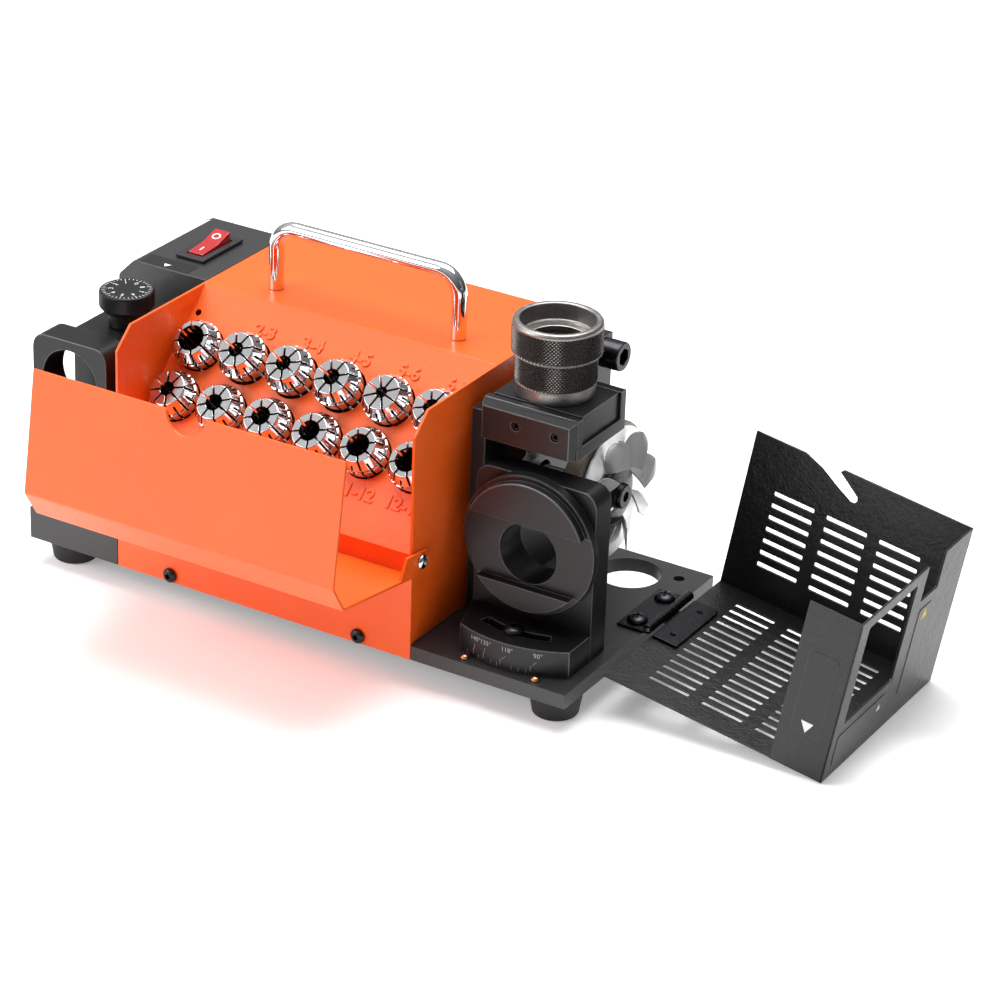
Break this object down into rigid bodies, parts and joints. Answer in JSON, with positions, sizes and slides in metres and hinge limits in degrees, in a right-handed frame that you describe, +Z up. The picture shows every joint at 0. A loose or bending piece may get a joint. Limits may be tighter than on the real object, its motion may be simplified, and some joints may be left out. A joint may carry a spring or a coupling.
{
  "type": "drill bit sharpener",
  "caption": "Bench drill bit sharpener with collets under a storage lid, a depth setting station, two grinding stations and a hinged swarf guard.",
  "frame": {"origin": "centre of the bounding box's bottom, on the plane that the rubber feet stand on", "axes": "+X along the machine to the grinding stations' end, +Y from the operator's side to the back, +Z up"},
  "size_m": [0.4594, 0.2266, 0.183],
  "materials": {
    "orange_paint": "vivid orange powder coat with a fine orange-peel texture",
    "black_paint": "black textured powder coat",
    "black_anodised": "satin black anodised machined aluminium",
    "hinge_steel": "black oxide pressed steel",
    "black_screw": "black oxide steel fastener",
    "chrome": "bright chrome plate",
    "bright_steel": "fine turned and ground steel",
    "knurled_steel": "grey-brown blackened steel with diamond knurling",
    "foot_rubber": "matt moulded rubber",
    "red_plastic": "glossy red moulded plastic",
    "black_plastic": "moulded black plastic",
    "fan_aluminium": "brushed aluminium",
    "abrasive": "diamond grit bonded on an aluminium core",
    "copper": "polished copper alloy",
    "circuit_board": "green circuit board",
    "white_print": "white printed or engraved and filled marks",
    "label_film": "thin printed label",
    "motor_enamel": "dark grey enamelled motor shell"
  },
  "bodies": {
    "base": {"case_cover": "orange_paint", "case_screw_left": "black_screw", "case_screw_right": "black_screw", "lid_pivot_screw_left": "chrome", "lid_pivot_screw_right": "chrome", "carry_handle": "chrome", "base_plate": "black_paint", "stop_pin_left": "copper", "stop_pin_right": "copper", "foot_front_left": "foot_rubber", "foot_back_left": "foot_rubber", "foot_front_right": "foot_rubber", "foot_back_right": "foot_rubber", "control_housing": "black_paint", "front_box": "black_paint", "control_board": "circuit_board", "switch_body": "black_plastic", "setting_block": "black_anodised", "setting_clamp_screw": "black_screw", "motor": "motor_enamel", "motor_plate": "black_anodised", "angle_lock_screw": "black_screw", "web_way": "black_anodised", "web_bracket": "black_anodised", "web_jaw": "black_anodised", "jaw_screw_left": "bright_steel", "jaw_screw_right": "bright_steel", "web_stop_screw": "black_screw", "hinge_leaf_fixed": "hinge_steel", "hinge_pin": "bright_steel", "hinge_screw_front": "black_screw", "hinge_screw_back": "black_screw"},
    "dial": {"setting_dial": "black_anodised"},
    "rocker": {"switch_rocker": "red_plastic"},
    "rotor": {"spindle": "bright_steel", "grinding_wheel": "abrasive", "fan_disc": "fan_aluminium", "hub_nut": "black_screw"},
    "swivel": {"swivel_base": "black_anodised", "swivel_bracket": "black_anodised"},
    "disc": {"angle_disc": "black_anodised"},
    "slide": {"web_slide": "black_anodised", "web_collar": "knurled_steel"},
    "sleeve": {"web_sleeve": "knurled_steel"},
    "guard": {"guard": "black_paint", "hinge_leaf_moving": "hinge_steel"},
    "collet_upper_1": {"collet_upper_1": "bright_steel"},
    "collet_upper_2": {"collet_upper_2": "bright_steel"},
    "collet_upper_3": {"collet_upper_3": "bright_steel"},
    "collet_upper_4": {"collet_upper_4": "bright_steel"},
    "collet_upper_5": {"collet_upper_5": "bright_steel"},
    "collet_upper_6": {"collet_upper_6": "bright_steel"},
    "collet_lower_1": {"collet_lower_1": "bright_steel"},
    "collet_lower_2": {"collet_lower_2": "bright_steel"},
    "collet_lower_3": {"collet_lower_3": "bright_steel"},
    "collet_lower_4": {"collet_lower_4": "bright_steel"},
    "collet_lower_5": {"collet_lower_5": "bright_steel"},
    "collet_lower_6": {"collet_lower_6": "bright_steel"},
    "lid": {"storage_lid": "orange_paint"}
  },
  "joints": [
    {"name": "lid_hinge", "type": "hinge", "parent": "base", "child": "lid", "pos_m": [-0.08509, -0.03502, 0.0666], "axis": [1, 0, 0], "range_deg": [-81, 0]},
    {"name": "guard_hinge", "type": "hinge", "parent": "base", "child": "guard", "pos_m": [0.09346, 0.05748, 0.0246], "axis": [0, -1, 0], "range_deg": [0, 72]},
    {"name": "angle_swivel", "type": "hinge", "parent": "base", "child": "swivel", "pos_m": [0.05066, 0.02748, 0.029], "axis": [0, 0, 1], "range_deg": [-6, 12]},
    {"name": "disc_tilt", "type": "hinge", "parent": "swivel", "child": "disc", "pos_m": [0.05066, 0.00148, 0.0786], "axis": [0, 1, 0], "range_deg": [-20, 20]},
    {"name": "web_slide_travel", "type": "slide", "parent": "base", "child": "slide", "axis": [1, 0, 0], "range_m": [-0.0015, 0.004]},
    {"name": "web_sleeve_turn", "type": "hinge", "parent": "slide", "child": "sleeve", "pos_m": [0.03966, 0.02848, 0.173], "axis": [0, 0, 1], "continuous": true},
    {"name": "setting_dial_turn", "type": "hinge", "parent": "base", "child": "dial", "pos_m": [-0.19564, -0.00002, 0.132], "axis": [0, 0, 1], "continuous": true},
    {"name": "rocker_tilt", "type": "hinge", "parent": "base", "child": "rocker", "pos_m": [-0.19564, 0.07238, 0.1446], "axis": [1, 0, 0], "range_deg": [-15, 0]},
    {"name": "spindle_turn", "type": "hinge", "parent": "base", "child": "rotor", "pos_m": [0.04816, 0.06648, 0.076], "axis": [1, 0, 0], "continuous": true},
    {"name": "collet_upper_1_lift", "type": "slide", "parent": "base", "child": "collet_upper_1", "axis": [0, -0.6956, 0.7184], "range_m": [0, 0.045]},
    {"name": "collet_upper_2_lift", "type": "slide", "parent": "base", "child": "collet_upper_2", "axis": [0, -0.6956, 0.7184], "range_m": [0, 0.045]},
    {"name": "collet_upper_3_lift", "type": "slide", "parent": "base", "child": "collet_upper_3", "axis": [0, -0.6956, 0.7184], "range_m": [0, 0.045]},
    {"name": "collet_upper_4_lift", "type": "slide", "parent": "base", "child": "collet_upper_4", "axis": [0, -0.6956, 0.7184], "range_m": [0, 0.045]},
    {"name": "collet_upper_5_lift", "type": "slide", "parent": "base", "child": "collet_upper_5", "axis": [0, -0.6956, 0.7184], "range_m": [0, 0.045]},
    {"name": "collet_upper_6_lift", "type": "slide", "parent": "base", "child": "collet_upper_6", "axis": [0, -0.6956, 0.7184], "range_m": [0, 0.045]},
    {"name": "collet_lower_1_lift", "type": "slide", "parent": "base", "child": "collet_lower_1", "axis": [0, -0.6956, 0.7184], "range_m": [0, 0.045]},
    {"name": "collet_lower_2_lift", "type": "slide", "parent": "base", "child": "collet_lower_2", "axis": [0, -0.6956, 0.7184], "range_m": [0, 0.045]},
    {"name": "collet_lower_3_lift", "type": "slide", "parent": "base", "child": "collet_lower_3", "axis": [0, -0.6956, 0.7184], "range_m": [0, 0.045]},
    {"name": "collet_lower_4_lift", "type": "slide", "parent": "base", "child": "collet_lower_4", "axis": [0, -0.6956, 0.7184], "range_m": [0, 0.045]},
    {"name": "collet_lower_5_lift", "type": "slide", "parent": "base", "child": "collet_lower_5", "axis": [0, -0.6956, 0.7184], "range_m": [0, 0.045]},
    {"name": "collet_lower_6_lift", "type": "slide", "parent": "base", "child": "collet_lower_6", "axis": [0, -0.6956, 0.7184], "range_m": [0, 0.045]}
  ]
}
